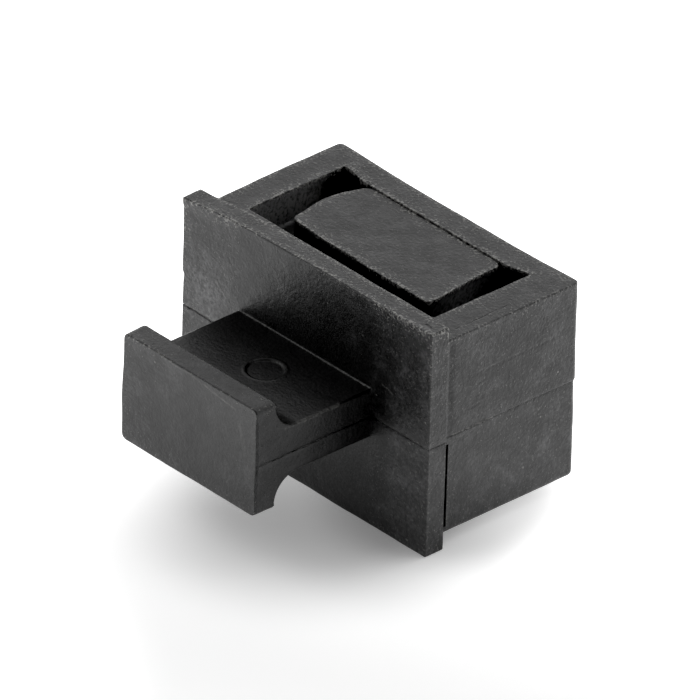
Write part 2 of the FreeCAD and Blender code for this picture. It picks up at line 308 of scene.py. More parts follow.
def model_pad(bm, shape):
    """The pad that stands on the floor of the recess; its front right corner is the sharpest."""
    side, front, rear, floor = recess_outline(shape)
    top = shape.insert_height / 2 - shape.pad_drop
    pad_side = shape.pad_length / 2
    pad_rear = rear - shape.recess_bow - shape.pad_rear_gap
    pad_front = pad_rear - shape.pad_width
    ground = (-side, front, floor), (side, rear, floor)
    cut(bm, *ground, X, -pad_side, pad_side)
    cut(bm, *ground, Y, pad_front, pad_rear)
    raise_faces(bm, (-pad_side, pad_front, floor), (pad_side, pad_rear, floor), Z, top - floor)
    clear_lines(bm, (-side, pad_rear, floor), (side, rear, floor))
    for across in (-pad_side, pad_side):
        for along in (pad_front, pad_rear):
            share = SHARP_CORNER if across > 0 and along == pad_front else 1
            round_in(bm, (across, along, floor), (across, along, top), shape.pad_corner_radius * share, 5)
    round_in(bm, (-pad_side, pad_front, top), (pad_side, pad_rear, top), shape.pad_edge_radius, 3)
    round_in(bm, *ground, shape.crease_radius, 2, convex=False)


def model_handle(bm, shape):
    """The flat neck, and the grip bar across its end, with the hollow curves between them."""
    side, rise = shape.handle_width / 2, (HIGH.z + LOW.z) / 2
    root, front = -shape.flange_thickness, LOW.y
    back = front + shape.grip_thickness
    top, bottom = rise + shape.neck_thickness / 2, rise - shape.neck_thickness / 2
    high, low = rise + shape.grip_height / 2, rise - shape.grip_height / 2
    face = (LOW.x, root, LOW.z), (HIGH.x, root, HIGH.z)
    cut(bm, *face, X, -side, side)
    cut(bm, *face, Z, bottom, top)
    raise_faces(bm, (-side, root, bottom), (side, root, top), Y, back - root)
    raise_faces(bm, (-side, back, bottom), (side, back, top), Y, front - back)
    raise_faces(bm, (-side, front, top), (side, back, top), Z, high - top)
    raise_faces(bm, (-side, front, bottom), (side, back, bottom), Z, low - bottom)
    clear_lines(bm, (-side, front, low), (side, back, high))
    for level in (top, bottom):
        round_in(bm, (-side, back, level), (side, back, level), shape.grip_root_radius, 12)
    for across in (-side, side):
        for level in (low, high):
            round_in(bm, (across, front, level), (across, back, level), shape.grip_corner_radius, 4)
    round_in(bm, (-side, front, low), (side, front, high), shape.grip_face_radius, 4)
    behind_face = front + shape.grip_face_radius
    round_in(bm, (-side, behind_face, low), (side, root, high), shape.neck_edge_radius, 2, convex=True)
    for level in (top, bottom):
        round_in(bm, (-side, root, level), (side, root, level), shape.crease_radius, 2, convex=False)


def model_flange_edges(bm, shape):
    """The soft corners and outlines of the plate."""
    root = -shape.flange_thickness
    for across in (LOW.x, HIGH.x):
        for level in (LOW.z, HIGH.z):
            round_in(bm, (across, root, level), (across, 0, level), shape.flange_corner_radius, 4)
    for along, radius in ((root, shape.flange_edge_radius), (0, shape.flange_back_radius)):
        round_in(bm, (LOW.x, along, LOW.z), (HIGH.x, along, HIGH.z), radius, 3, convex=True)


def model_slit(bm, shape):
    """The slit behind the plate, in the insert's right side below the parting line."""
    side, low = shape.insert_width / 2, -shape.insert_height / 2 + shape.insert_edge_radius
    off_plate, below_parting, above_edge = 0.04 * MM, 0.3 * MM, 0.1 * MM
    start, end = off_plate, off_plate + shape.slit_width
    bottom, top = low + above_edge, -below_parting
    face = (side, 0, low), (side, shape.insert_depth, HIGH.z)
    cut(bm, *face, Y, start, end)
    cut(bm, *face, Z, top, bottom)
    raise_faces(bm, (side, start, bottom), (side, end, top), X, -shape.slit_depth)


def slice_evenly(bm, shape):
    spacing = shape.mesh_spacing * 1
    for axis in (X, Y, Z):
        first, last = math.ceil(LOW[axis] / spacing), math.floor(HIGH[axis] / spacing)
        places = [(number + 0.5) * spacing for number in range(first, last)]
        if axis == Z:
            places += [-shape.parting_width / 2, 0, shape.parting_width / 2]
        for place in places:
            bmesh.ops.bisect_plane(bm, geom=[*bm.verts, *bm.edges, *bm.faces], dist=NEAR,
                                   plane_co=AXES[axis] * place, plane_no=AXES[axis])


def refine(bm, low, high, cuts):
    """Divide the faces in a box more finely."""
    edges = parts_of(faces_in(bm, low, high), "edges")
    bmesh.ops.subdivide_edges(bm, edges=edges, cuts=cuts, use_grid_fill=True)


def refine_details(bm, shape):
    """Smaller faces where the ejector pin's disc lies."""
    reach = 1.4 * shape.pin_mark_radius
    place = -shape.flange_thickness - shape.pin_mark_setback
    level = (HIGH.z + LOW.z) / 2 + shape.neck_thickness / 2
    refine(bm, (-reach, place - reach, level), (reach, place + reach, level), 3)


def model_plug(shape):
    """The plug's surface as a bmesh."""
    bm = bmesh.new()
    for step in (model_flange, model_insert, model_recess, model_pad, model_handle, model_flange_edges,
                 model_slit, slice_evenly, refine_details):
        step(bm, shape)
    # The bevels leave the vertices in another order in each run, and the merge depends on their order.
    in_order = sorted(bm.verts, key=lambda vert: [round(value, 7) for value in vert.co])
    bmesh.ops.remove_doubles(bm, verts=in_order, dist=SLIVER)
    bmesh.ops.recalc_face_normals(bm, faces=bm.faces[:])
    return bm


def ramp(value, start, end):
    """0 before start and 1 past end, with a smooth rise between."""
    share = np.clip((value - start) / (end - start), 0, 1)
    return share * share * (3 - 2 * share)


def hump(value, middle, reach):
    """1 at the middle, falling away smoothly on both sides."""
    return np.exp(-((value - middle) / reach) ** 2)


# Each bend takes places on the surface in millimetres and gives how far they move along X, Y and Z. The numbers
# of a ramp or a hump say where the move sets in and ends, and the others how far it goes, as the photograph shows.


def draw_in_rear(x, y, z, shape):
    """Rubber shrinks as it cools, so the rear face and the recess's rear wall lean in at their middle."""
    rear, wall = shape.insert_depth / MM, (shape.insert_depth - shape.rear_rim) / MM
    side, wall_side = shape.insert_width / 2 / MM, (shape.insert_width / 2 - shape.side_rim) / MM
    pad_rear = wall - (shape.recess_bow + shape.pad_rear_gap) / MM
    pad_side = shape.pad_length / 2 / MM
    inner = shape.recess_bow / MM * ramp(-abs(x), -wall_side, -pad_side)
    inner *= np.interp(y, (pad_rear, wall, rear), (0, 1, 0))
    outer = shape.rear_bow / MM * np.clip(1 - (x / side) ** 2, 0, 1) * np.interp(y, (wall, rear), (0, 1))
    return 0, -inner - outer, 0


def bend_flange(x, y, z, shape):
    """The plate's thin left top corner hangs down and forward, and its left edge has a small step."""
    plate = ramp(y, 0.05, 0)
    lip = ramp(z, 4.2, 5.1) * plate
    left = ramp(-x, 3.5, 7.05)
    dip = np.interp(x, (-7.05, -4.2, -1.45, 0.9), (0.18, 0.13, 0.07, 0)) + 0.03 * ramp(-y, 0, 0.9) * left
    edge = ramp(-x, 6.8, 7.0) * plate
    step = (0.045 + 0.035 * hump(z, 1.3, 0.15)) * ramp(z, 1.47, 1.37)
    return edge * step, -0.08 * left * lip, -dip * lip


def bend_pad(x, y, z, shape):
    """The pad's left side swells out, its front right corner too, and its front edge has a small jog."""
    pad = ramp(z, 2.7, 3.0) * ramp(-abs(x), -4.6, -3.9) * ramp(y, 0.95, 1.3) * ramp(-y, -5.645, -5.635)
    left = ramp(-x, 2.6, 3.7) * (0.25 * hump(y, 3.7, 1.1) - 0.16 * ramp(y, 4.6, 5.6))
    right = 0.26 * ramp(x, 2.6, 3.7) * ramp(-y, -5.0, -1.6)
    front = np.clip(1 - abs(y - 1.63) / 0.7, 0, 1)
    return pad * (right - left), pad * front * (0.13 * ramp(-x, 1.5, 3.9) - 0.09 * ramp(x, -0.17, 0.34)), 0


def bend_grip(x, y, z, shape):
    """The grip's left end bulges a little."""
    return -0.07 * ramp(-x, 3.3, 3.8) * ramp(-y, 5.0, 5.8) * hump(z, -0.3, 1.3), 0, 0


def bend_rim(x, y, z, shape):
    """The rim's left arm lies a little lower toward the plate, and its right arm is a little wider."""
    sag = 0.09 * ramp(-x, 5.0, 6.6) * ramp(z, 3.3, 4.2) * ramp(-y, -4.5, 0)
    wall = 0.18 * ramp(x, 4.6, 5.1) * ramp(-x, -6.6, -5.6) * ramp(z, 2.7, 3.0)
    wall *= ramp(y, 0.4, 0.9) * ramp(-y, -6.4, -5.9)
    return -wall, 0, -sag


def sink_pin_mark(x, y, z, shape):
    """The shallow disc of the ejector pin, inside a faint raised ring."""
    radius = shape.pin_mark_radius / MM
    place = -(shape.flange_thickness + shape.pin_mark_setback) / MM
    distance = np.hypot(x - 0.12, y - place)
    on_top = ramp(z, 0.9, 1.15) * ramp(-z, -1.4, -1.25)
    disc = shape.pin_mark_depth / MM * ramp(-distance, -radius - 0.03, -radius + 0.05)
    ring = 0.02 * hump(distance, radius + 0.09, 0.06)
    return 0, 0, on_top * (ring - disc)


def crease_side(x, y, z, shape):
    """Behind the plate, the insert's right side has a soft crease above the parting line."""
    side = shape.insert_width / 2 / MM
    crease = 0.04 * hump(y, 0.33, 0.12) * ramp(z, 0, 0.3) * ramp(-z, -4.2, -4.0)
    return -crease * ramp(x, side - 0.05, side - 0.01), 0, 0


def offset_halves(x, y, z, shape):
    """The mould's two halves met a little out of line, which leaves a fine step on the right side."""
    side = shape.insert_width / 2 / MM
    step = np.interp(y, (0, 2.5, 3.4, 7), (-0.02, -0.02, 0.02, 0.035)) * ramp(y, 0, 0.2)
    return ramp(x, side - 0.4, side - 0.05) * np.sign(z) * step * np.exp(-abs(z) / 1.5), 0, 0


BENDS = (draw_in_rear, bend_flange, bend_pad, bend_grip, bend_rim, sink_pin_mark, crease_side, offset_halves)
FAINT_LINE = 0.8  # share of the parting groove that is missing where the photograph hardly shows it
WAVES = ((3.1, 0.02, 1.0), (1.1, 0.012, 5.0), (0.4, 0.005, 9.0))  # size and depth in millimetres, seed


def read_vertices(mesh, name):
    """Coordinates or normals of the vertices as an array, three to a row."""
    values = np.empty(len(mesh.vertices) * 3, np.float32)
    mesh.vertices.foreach_get(name, values)
    return values.reshape(-1, 3).astype(float)


def waver(places, size, depth, seed):
    """A smooth random swell at each place: humps of a size, up to a depth, in the same units."""
    shift = Vector((seed, 2.7 * seed, 0))
    return depth * np.array([noise.noise(Vector(place) / size + shift) for place in places])


def shape_surface(mesh, shape):
    """Bend the even surface as this plug is bent, with its parting line and the waver of soft rubber."""
    places, normals = read_vertices(mesh, "co") / MM, read_vertices(mesh, "normal")
    for bend in BENDS:
        x, y, z = places.T
        for axis, move in enumerate(bend(x, y, z, shape)):
            places[:, axis] += move
    x, y, z = places.T
    line = hump(z, 0, shape.parting_width / MM / 2) * ramp(-abs(normals[:, Z]), -0.6, -0.3)
    grip_face, front_of_side = ramp(-y, 6.6, 6.75), ramp(x, 6.2, 6.5) * ramp(y, 0, 0.1) * ramp(-y, -3.8, -2.2)
    line *= (1 - FAINT_LINE * grip_face) * (1 - FAINT_LINE * front_of_side)
    behind_pad = hump(y, 5.64, 0.08) * ramp(-abs(x), -4.2, -3.9) * ramp(z, 2.7, 2.8)
    swell = sum(waver(places, *wave) for wave in WAVES) * (1 - behind_pad)
    places += normals * (swell - shape.parting_depth / MM * line)[:, None]
    places = np.clip(places * MM, LOW, HIGH)
    mesh.vertices.foreach_set("co", places.astype(np.float32).ravel())
    mesh.update()


def mark_edges(mesh):
    """Store how near each vertex lies to an outer edge, where dust gathers and the skin is worn."""
    ends = np.empty(len(mesh.edges) * 2, np.int32)
    mesh.edges.foreach_get("vertices", ends)
    first, second = ends.reshape(-1, 2).T
    places, normals = read_vertices(mesh, "co"), read_vertices(mesh, "normal")
    along = places[second] - places[first]
    spread = ((normals[second] - normals[first]) * along).sum(1)
    length_squared = np.maximum((along ** 2).sum(1), 1e-12)
    curve = spread / np.sqrt(length_squared)
    near_edge = np.zeros(len(places))
    np.maximum.at(near_edge, first, np.clip(curve * 2.5, 0, 1))
    np.maximum.at(near_edge, second, np.clip(curve * 2.5, 0, 1))
    keep = np.exp(-np.sqrt(length_squared) / (0.28 * MM))
    for _ in range(8):
        before = near_edge.copy()
        np.maximum.at(near_edge, first, before[second] * keep)
        np.maximum.at(near_edge, second, before[first] * keep)
    x, y, z = places.T / MM
    near_edge *= 0.35 + 0.65 * ramp(z, 1.5, 4.0)
    right_side = ramp(x, 6.4, 6.6) * ramp(-z, -4.75, -4.5)
    store(mesh, "near_edge", near_edge * (1 - 0.55 * right_side))


def store(mesh, name, values):
    """Keep one number for each vertex under a name that the material reads."""
    attribute = mesh.attributes.new(name, "FLOAT", "POINT")
    attribute.data.foreach_set("value", values.astype(np.float32))


def mark_painted_shade(mesh):
    """Store where shade is painted: the neck, the plate beside it, and the recess's inside keep less film, flecks
    and dust there and look darker.
    """
    x, y, z = read_vertices(mesh, "co").T / MM
    neck = ramp(-abs(x), -3.9, -3.7) * ramp(-y, 0.85, 0.95) * ramp(y, -5.9, -5.6)
    plate = ramp(-y, 0.6, 0.8) * hump(x, 1.0, 3.4) * hump(z, 0.3, 2.2)
    recess = ramp(-abs(x), -5.45, -5.3) * ramp(y, 0.85, 0.95) * ramp(-y, -5.95, -5.85) * ramp(-z, -4.15, -4.0)
    store(mesh, "sheltered", np.clip(neck + plate + recess, 0, 1))


def mark_painted_light(mesh):
    """Store where light is painted on as a pale film: lit patches on the plate beside the neck, and in the
    recess's two ends.
    """
    x, y, z = read_vertices(mesh, "co").T / MM
    beside_neck = hump(x, -5.6, 1.2) * hump(z, 1.0, 1.3) * ramp(-y, 0.8, 0.88)
    left_wall = ramp(-x, 5.1, 5.3) * ramp(x, -5.6, -5.4) * ramp(y, 0.8, 0.95) * ramp(-y, -5.2, -3.0)
    left_wall *= ramp(z, 2.7, 3.0) * ramp(-z, -4.3, -4.2)
    pad_end = ramp(x, 3.7, 3.85) * ramp(-x, -4.6, -4.4) * ramp(y, 1.3, 1.6) * ramp(-y, -5.7, -5.6)
    pad_end *= ramp(z, 2.8, 2.9) * ramp(-z, -4.2, -3.9) * hump(y, 3.4, 1.5)
    right_plate = ramp(x, 4.4, 5.4) * ramp(-y, 0.8, 0.88) * ramp(y, -1.2, -1.0)
    right_plate *= 1 + 0.5 * ramp(-z, -0.5, 1.5)
    store(mesh, "rubbed", 0.52 * beside_neck + left_wall + 0.5 * pad_end + 0.1 * right_plate)


def add_node(tree, kind, inputs=None, **settings):
    """Add a shader node; its inputs take values, sockets, or nodes, whose first output in use they follow."""
    node = tree.nodes.new("ShaderNode" + kind)
    for name, value in settings.items():
        setattr(node, name, value)
    for name, value in (inputs or {}).items():
        if isinstance(value, bpy.types.Node):
            value = next(socket for socket in value.outputs if socket.enabled)
        if isinstance(value, bpy.types.NodeSocket):
            tree.links.new(value, node.inputs[name])
        else:
            node.inputs[name].default_value = value
    return node


def specks(tree, place, cell, radius, share):
    """Small round specks, at most one to a cell, in a share of the cells: 1 inside a speck."""
    cells = add_node(tree, "TexVoronoi", {"Vector": place, "Scale": 1 / cell, "Randomness": 1.0})
    chance = add_node(tree, "SeparateColor", {0: cells.outputs["Color"]})
    chosen = add_node(tree, "Math", {0: chance.outputs[0], 1: share}, operation="LESS_THAN")
    size = add_node(tree, "MapRange", {"Value": chance.outputs[1], "To Min": 0.5 * radius / cell,
                                       "To Max": 1.2 * radius / cell})
    reached = add_node(tree, "Math", {0: cells.outputs["Distance"], 1: size}, operation="DIVIDE")
    disc = add_node(tree, "MapRange", {"Value": reached, "From Min": 1.3, "From Max": 0.6},
                    interpolation_type="SMOOTHSTEP")
    return add_node(tree, "Math", {0: chosen, 1: disc}, operation="MULTIPLY")


# Scuffs, nicks and lines that the photograph shows, and among the pale ones painted highlights and a
# painted lit patch: start and end on the skin and half width, in millimetres, and how strong the mark is.
PALE_MARKS_AND_PAINTED_LIGHT = (
    ((-5.12, -0.9, 1.89), (-4.53, -0.9, 1.40), 0.07, 0.5),
    ((4.35, -0.9, 1.70), (4.62, -0.9, 1.62), 0.05, 0.5),
    ((4.70, -0.9, 1.60), (4.92, -0.9, 1.53), 0.05, 0.5),
    ((6.09, -0.9, 4.87), (6.71, -0.9, 5.02), 0.05, 0.7),
    ((7.05, -0.78, 4.47), (7.05, -0.73, 4.36), 0.06, 0.7),
    ((6.60, -0.5, 5.10), (7.05, -0.2, 5.05), 0.06, 0.7),
    # painted highlight along the parting line's lower lip
    ((6.80, 0.16, 0.03), (6.80, 2.60, 0.0), 0.05, 1.2),
    ((4.69, 6.74, 4.33), (4.86, 6.94, 4.30), 0.08, 1.2),
    ((5.30, 6.32, 4.33), (5.45, 6.20, 4.33), 0.07, 1.2),
    ((5.83, 6.72, 4.33), (6.33, 6.52, 4.33), 0.08, 1.2),
    ((-6.60, 6.24, 4.33), (-6.40, 6.60, 4.33), 0.09, 0.5),
    ((-6.10, 6.70, 4.33), (-5.60, 6.50, 4.33), 0.09, 0.5),
    ((-5.20, 6.40, 4.33), (-4.75, 6.20, 4.33), 0.06, 0.4),
    # painted highlight along the crease between neck and plate
    ((-3.66, -0.92, 1.22), (3.69, -0.92, 1.22), 0.05, 0.6),
    # painted highlight along the top of the recess's rear wall
    ((-3.60, 5.69, 4.33), (3.60, 5.69, 4.33), 0.06, 1.0),
    ((-5.24, 0.63, 4.33), (-5.20, 1.37, 4.33), 0.12, 0.3),
    # painted highlight along the foot of the recess's left wall
    ((-5.35, 2.45, 2.90), (-5.35, 3.43, 2.90), 0.05, 0.6),
    # painted light on the recess's left wall
    ((-5.35, 1.40, 3.60), (-5.35, 4.40, 3.60), 0.80, 0.5),
    ((-2.30, -6.81, 2.50), (-0.30, -6.81, 2.40), 0.07, 0.4),
    ((-0.30, -6.81, 2.45), (2.57, -6.81, 2.05), 0.07, 0.4),
    ((2.86, -6.81, 1.60), (3.19, -6.81, 0.32), 0.16, 0.2),
    ((0.90, -3.60, 1.21), (1.35, -3.05, 1.21), 0.05, 0.2),
    ((3.78, -5.30, 1.19), (3.78, -2.60, 1.19), 0.12, 0.5),
)
DARK_MARKS = (
    ((6.33, 1.01, 4.33), (6.30, 3.61, 4.33), 0.05, 0.5),
    ((6.80, 1.58, 2.28), (6.80, 5.60, 2.34), 0.12, 0.16),
    ((6.80, 1.17, 0.84), (6.80, 1.99, 0.92), 0.10, 0.16),
    ((6.80, 3.40, 0.0), (6.80, 6.62, 0.0), 0.05, 0.5),
    ((6.35, -0.55, 5.10), (6.62, -0.60, 5.10), 0.12, 1.0),
    ((-6.90, -0.9, 0.0), (-3.8, -0.9, 0.0), 0.06, 1.0),
    ((3.8, -0.9, 0.0), (6.9, -0.9, 0.0), 0.05, 0.6),
    ((3.80, -6.71, 0.0), (3.80, -3.20, 0.0), 0.04, 0.5),
    ((3.74, -6.75, 1.01), (3.80, -6.51, 0.93), 0.08, 0.8),
    ((3.80, -6.75, 1.90), (3.80, -6.75, -2.10), 0.07, 0.9),
)


def lines(tree, place, marks):
    """Short lines on the skin, as the marks above give them: 0 off them, up to their strength on them."""
    total = None
    for start, end, width, strength in marks:
        start, along = Vector(start) * MM, (Vector(end) - Vector(start)) * MM
        offset = add_node(tree, "VectorMath", {0: place, 1: start}, operation="SUBTRACT")
        share = add_node(tree, "VectorMath", {0: offset, 1: along / along.length_squared},
                         operation="DOT_PRODUCT").outputs["Value"]
        share = add_node(tree, "Clamp", {"Value": share})
        nearest = add_node(tree, "VectorMath", {0: along, "Scale": share}, operation="SCALE")
        distance = add_node(tree, "VectorMath", {0: offset, 1: nearest}, operation="DISTANCE")
        mark = add_node(tree, "MapRange", {"Value": distance.outputs["Value"], "From Min": width * MM,
                                           "From Max": 0, "To Max": strength},
                        interpolation_type="SMOOTHSTEP")
        if total is None:
            total = mark
        else:
            total = add_node(tree, "Math", {0: total, 1: mark}, operation="MAXIMUM")
    return total


# Sizes of the skin's patterns. The real grain and dust are partly finer than this: what would be too fine to
# show in the picture is drawn as coarse as it needs to be.
CLOUD_SIZE = 2.4 * MM  # broad clouds in the skin's tone
PATCH_SIZE = 0.5 * MM  # mottled patches
VEIL_SIZE = 0.8 * MM  # patches of the pale film
DRAG_SIZE = 0.3 * MM  # width of the marks from leaving the mould
DRAG_STRETCH = 0.06  # scale along the plug, which draws those marks out
SHAKE_SIZE = 0.35 * MM  # bends of the listed marks
SHAKE_REACH = 0.14 * MM  # how far they stray
FINE_SPECKS = (0.15 * MM, 0.025 * MM)  # cell and radius of the fine dust
COARSE_SPECKS = (0.4 * MM, 0.045 * MM)  # cell and radius of the coarse dust
BROAD_DEPTH = 0.012 * MM  # relief of the mottled patches


def skin_patterns(tree, finish):
    """What the layers of the skin share: the place on it, what the mesh stores, and patterns of noise."""
    place = add_node(tree, "TexCoord").outputs["Object"]
    near_edge, rubbed, sheltered = (add_node(tree, "Attribute", attribute_name=name).outputs["Fac"]
                                    for name in ("near_edge", "rubbed", "sheltered"))
    # Where shade is painted, the skin keeps less film, flecks and dust, which leaves it darker.
    outside_painted_shade = add_node(tree, "Math", {0: 1.0, 1: sheltered}, operation="SUBTRACT")
    near_edge = add_node(tree, "Math", {0: near_edge, 1: outside_painted_shade}, operation="MULTIPLY")
    cloud = add_node(tree, "TexNoise", {"Vector": place, "Scale": 1 / CLOUD_SIZE, "Detail": 3.0})
    patch = add_node(tree, "TexNoise", {"Vector": place, "Scale": 1 / PATCH_SIZE, "Detail": 2.0})
    grain = add_node(tree, "TexNoise", {"Vector": place, "Scale": 1 / finish.grain_size, "Detail": 3.0})
    cloudy, mottled = (add_node(tree, "MapRange", {"Value": value, "From Min": 0.3, "From Max": 0.7,
                                                   "To Min": 0.6, "To Max": 1.3}) for value in (cloud, patch))
    return SimpleNamespace(place=place, near_edge=near_edge, rubbed=rubbed, sheltered=sheltered,
                           outside_painted_shade=outside_painted_shade, patch=patch, grain=grain, cloudy=cloudy, mottled=mottled)


def placed_marks(tree, on):
    """The pale marks, some of them painted highlights, and the dark marks listed above, shaken a little so that
    they don't run straight.
    """
    shaken = add_node(tree, "TexNoise", {"Vector": on.place, "Scale": 1 / SHAKE_SIZE, "Detail": 1.0})
    shaken = add_node(tree, "VectorMath", {0: shaken.outputs["Color"], 1: (0.5, 0.5, 0.5)},
                      operation="SUBTRACT")
    shaken = add_node(tree, "VectorMath", {0: shaken, "Scale": SHAKE_REACH}, operation="SCALE")
    shaken = add_node(tree, "VectorMath", {0: on.place, 1: shaken}, operation="ADD")
    return lines(tree, shaken, PALE_MARKS_AND_PAINTED_LIGHT), lines(tree, shaken, DARK_MARKS)


def black_skin(tree, on, finish):
    """The black itself, paler on the tops of the grain, cloudy, mottled and dragged along the plug."""
    pulled = add_node(tree, "Mapping", {"Vector": on.place, "Scale": (1, DRAG_STRETCH, 1)})
    drag = add_node(tree, "TexNoise", {"Vector": pulled, "Scale": 1 / DRAG_SIZE, "Detail": 2.0})
    dragged = add_node(tree, "MapRange", {"Value": drag, "From Min": 0.3, "From Max": 0.5, "To Min": 0.55,
                                          "To Max": 1.0})
    tops = add_node(tree, "MapRange", {"Value": on.grain, "From Min": 0.42, "From Max": 0.72})
    for share in (on.cloudy, on.mottled, dragged):
        tops = add_node(tree, "Math", {0: tops, 1: share}, operation="MULTIPLY")
    return add_node(tree, "Mix", {0: tops, 6: (*finish.skin, 1), 7: (*finish.grain, 1)}, data_type="RGBA")


def pale_film_and_painted_light(tree, on):
    """The pale film: patches of it outside the painted shade, painted light where the mesh stores it, and a rim
    along the edges.
    """
    rim = add_node(tree, "MapRange", {"Value": on.patch, "From Min": 0.35, "From Max": 0.65, "To Min": 0.06,
                                      "To Max": 0.32})
    rim = add_node(tree, "Math", {0: rim, 1: on.near_edge}, operation="MULTIPLY")
    worn = add_node(tree, "MapRange", {"Value": on.grain, "From Min": 0.35, "From Max": 0.65, "To Min": 0.3,
                                       "To Max": 1.7})
    veil_and_painted_light = add_node(tree, "TexNoise", {"Vector": on.place, "Scale": 1 / VEIL_SIZE, "Detail": 4.0,
                                       "Roughness": 0.6})
    veil_and_painted_light = add_node(tree, "MapRange", {"Value": veil_and_painted_light, "From Min": 0.46, "From Max": 0.7, "To Max": 0.22})
    veil_and_painted_light = add_node(tree, "Math", {0: veil_and_painted_light, 1: on.outside_painted_shade}, operation="MULTIPLY")
    # painted light is added to the film here
    veil_and_painted_light = add_node(tree, "Math", {0: veil_and_painted_light, 1: on.rubbed}, operation="ADD")
    return add_node(tree, "Math", {0: veil_and_painted_light, 1: worn, 2: rim}, operation="MULTIPLY_ADD")


def dust_specks(tree, on, finish):
    """Dust in two sizes, hardly any where shade is painted and more of it near the edges."""
    share = add_node(tree, "Math", {0: on.near_edge, 1: 0.3, 2: finish.dust_share}, operation="MULTIPLY_ADD")
    share = add_node(tree, "Math", {0: share, 1: on.cloudy}, operation="MULTIPLY")
    few = add_node(tree, "Math", {0: share, 1: 0.4}, operation="MULTIPLY")
    fine = specks(tree, on.place, *FINE_SPECKS, share)
    coarse = specks(tree, on.place, *COARSE_SPECKS, few)
    dust = add_node(tree, "Math", {0: fine, 1: coarse}, operation="MAXIMUM")
    dust = add_node(tree, "Math", {0: dust, 1: on.outside_painted_shade}, operation="MULTIPLY")
    return add_node(tree, "Math", {0: dust, 1: 0.5}, operation="MULTIPLY")


def pale_flecks(tree, on, finish):
    """Pale flecks, which crowd along the edges and are brightest there."""
    fleck = add_node(tree, "TexNoise", {"Vector": on.place, "Scale": 1 / finish.fleck_size, "Detail": 2.0})
    crowd = add_node(tree, "Math", {0: on.near_edge, 1: on.mottled}, operation="MULTIPLY")
    fleck = add_node(tree, "Math", {0: crowd, 1: 0.17, 2: fleck}, operation="MULTIPLY_ADD")
    # fewer flecks where shade is painted
    fleck = add_node(tree, "Math", {0: on.sheltered, 1: -0.15, 2: fleck}, operation="MULTIPLY_ADD")
    fleck = add_node(tree, "MapRange", {"Value": fleck, "From Min": 0.6, "From Max": 0.74, "To Max": 1.0},
                     interpolation_type="SMOOTHSTEP")
    bright = add_node(tree, "Math", {0: on.near_edge, 1: 0.7, 2: 0.2}, operation="MULTIPLY_ADD")
    return add_node(tree, "Math", {0: fleck, 1: bright}, operation="MULTIPLY")


def skin_relief(tree, on, finish, specks_marks_and_painted_light, dark):
    """The grain's relief, raised by dust and pale marks and sunk by dark marks, on broad humps."""
    deep = add_node(tree, "Math", {0: on.outside_painted_shade, 1: 0.45, 2: 0.8}, operation="MULTIPLY_ADD")
    deep = add_node(tree, "Math", {0: on.grain, 1: deep}, operation="MULTIPLY")
    relief = add_node(tree, "Math", {0: specks_marks_and_painted_light, 1: 1.5, 2: deep}, operation="MULTIPLY_ADD")
    relief = add_node(tree, "Math", {0: dark, 1: -2.5, 2: relief}, operation="MULTIPLY_ADD")
    fine = add_node(tree, "Bump", {"Height": relief, "Distance": finish.grain_depth, "Strength": 1.0})
    return add_node(tree, "Bump", {"Height": on.patch, "Distance": BROAD_DEPTH, "Strength": 1.0,
                                   "Normal": fine})


def rubber(finish):
    """Black moulded rubber, matte from a spark-eroded mould.

    It gives the eye a deep black that shows only by its soft sheen, with a fine pale grain, cloudy patches,
    faint drag marks along the way it left the mould, and dust that clings most along the edges.
    """
    material = bpy.data.materials.new("moulded_black_rubber")
    material.use_nodes = True
    tree = material.node_tree
    shader = tree.nodes["Principled BSDF"]
    shader.inputs["IOR"].default_value = 1.5
    shader.inputs["Specular IOR Level"].default_value = finish.gloss
    on = skin_patterns(tree, finish)
    pale, dark = placed_marks(tree, on)
    broken = add_node(tree, "MapRange", {"Value": on.grain, "From Min": 0.35, "From Max": 0.6, "To Min": 0.1,
                                         "To Max": 0.5})
    specks_marks_and_painted_light = add_node(tree, "Math", {0: pale, 1: broken}, operation="MULTIPLY")
    for layer in (dust_specks(tree, on, finish), pale_flecks(tree, on, finish)):
        specks_marks_and_painted_light = add_node(tree, "Math", {0: specks_marks_and_painted_light, 1: layer}, operation="MAXIMUM")
    skin = black_skin(tree, on, finish)
    for amount, tone in ((pale_film_and_painted_light(tree, on), finish.bloom_and_painted_light), (specks_marks_and_painted_light, finish.dust)):
        skin = add_node(tree, "Mix", {0: amount, 6: skin, 7: (*tone, 1)}, data_type="RGBA")
    rough = add_node(tree, "MapRange", {"Value": on.patch, "From Min": 0.3, "From Max": 0.7,
                                        "To Min": finish.roughness - 0.05, "To Max": finish.roughness + 0.05})
    tree.links.new(skin.outputs[2], shader.inputs["Base Color"])
    tree.links.new(rough.outputs[0], shader.inputs["Roughness"])
    tree.links.new(skin_relief(tree, on, finish, specks_marks_and_painted_light, dark).outputs[0], shader.inputs["Normal"])
    return material


class OBJECT_OT_moulded_plug(bpy.types.Operator):
    """Model the one-piece rubber plug and give it its finish"""
    bl_idname = "object.moulded_plug"
    bl_label = "Moulded Plug"

    def execute(self, context):
        shape = context.scene.plug_shape
        bm = model_plug(shape)
        mesh = bpy.data.meshes.new("moulded_plug")
        bm.to_mesh(mesh)
        bm.free()
        shape_surface(mesh, shape)
        mark_edges(mesh)
        mark_painted_light(mesh)
        mark_painted_shade(mesh)
        mesh.shade_smooth()
        mesh.set_sharp_from_angle(angle=SHARP)
        mesh.materials.append(rubber(context.scene.plug_finish))
        piece = bpy.data.objects.new("moulded_plug", mesh)
        context.scene.collection.objects.link(piece)
        even = piece.modifiers.new("even_shading", "WEIGHTED_NORMAL")
        even.keep_sharp = True
        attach(piece, "root")
        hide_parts("dust_plug")
        return {"FINISHED"}


